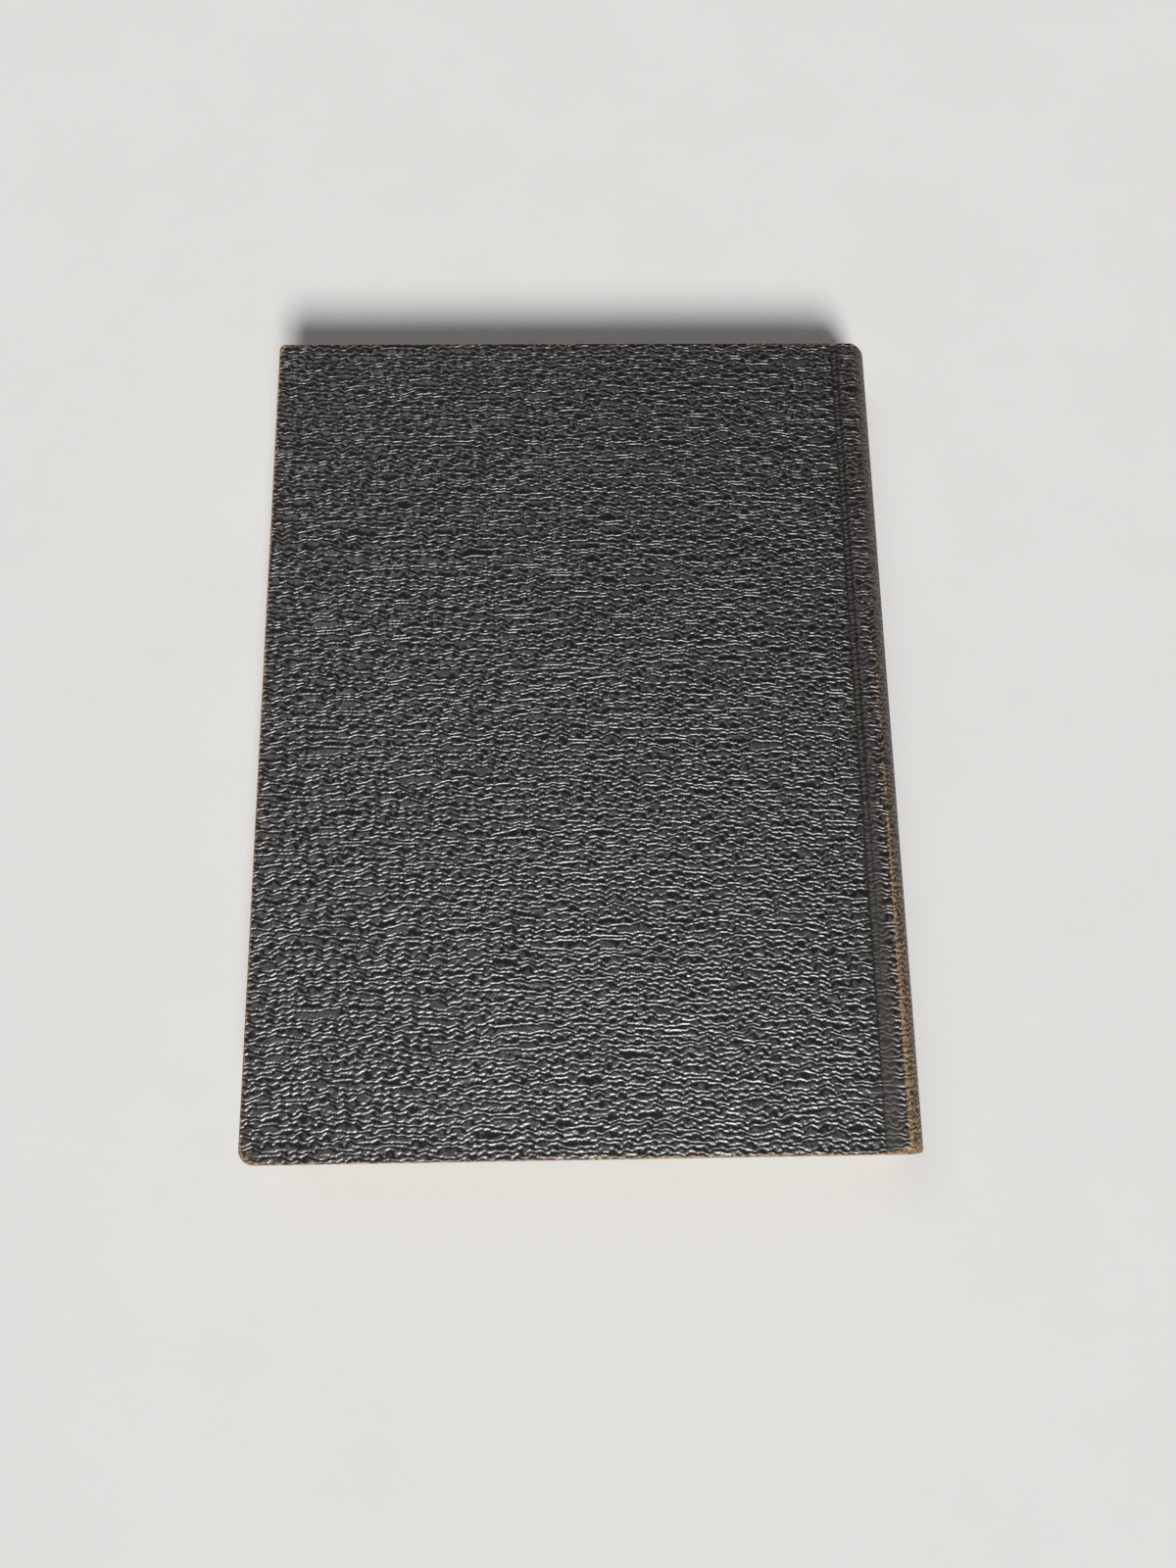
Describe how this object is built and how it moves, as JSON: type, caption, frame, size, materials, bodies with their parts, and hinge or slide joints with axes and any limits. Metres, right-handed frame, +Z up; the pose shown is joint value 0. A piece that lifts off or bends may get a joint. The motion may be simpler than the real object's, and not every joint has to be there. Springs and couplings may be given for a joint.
{
  "type": "book",
  "caption": "Hardback book in a cloth case binding, shut and lying flat: two hinged boards with blank outer faces, rounded spine, sewn leaves.",
  "frame": {"origin": "middle of the closed book's box, on the plane that its front cover lies on", "axes": "+X towards the spine, +Y towards the head of the book, +Z up out of the rear cover"},
  "size_m": [0.197, 0.26, 0.0227],
  "materials": {
    "grained_cloth": "black book cloth embossed with a coarse pebble grain, softly glossy on the ridges, rubbed brown at the edges",
    "leaves": "aged book paper, edges trimmed plain",
    "endpaper": "plain cream endpaper",
    "grey_board": "grey binder's board",
    "inlay_card": "thin brown card",
    "gauze": "open starched gauze",
    "lining_paper": "brown kraft paper",
    "headband_silk": "striped woven headband",
    "cord": "plain hemp cord"
  },
  "bodies": {
    "text_block": {"text_block": "leaves", "sewing_cords": "cord", "spine_gauze": "gauze", "spine_lining": "lining_paper", "head_band": "headband_silk", "tail_band": "headband_silk", "spine_inlay": "inlay_card", "spine_cloth": "grained_cloth", "rear_free_endpaper": "endpaper", "front_free_endpaper": "endpaper"},
    "rear_cover": {"rear_board": "grey_board", "rear_cover_cloth": "grained_cloth", "rear_pastedown": "endpaper", "rear_gauze_flange": "gauze"},
    "front_cover": {"front_board": "grey_board", "front_cover_cloth": "grained_cloth", "front_pastedown": "endpaper", "front_gauze_flange": "gauze"}
  },
  "joints": [
    {"name": "rear_cover_hinge", "type": "hinge", "parent": "text_block", "child": "rear_cover", "pos_m": [0.08644, 0, 0.0229], "axis": [0, 1, 0], "range_deg": [0, 180]},
    {"name": "front_cover_hinge", "type": "hinge", "parent": "text_block", "child": "front_cover", "pos_m": [0.08644, 0, -0.0002], "axis": [0, -1, 0], "range_deg": [0, 180]}
  ]
}
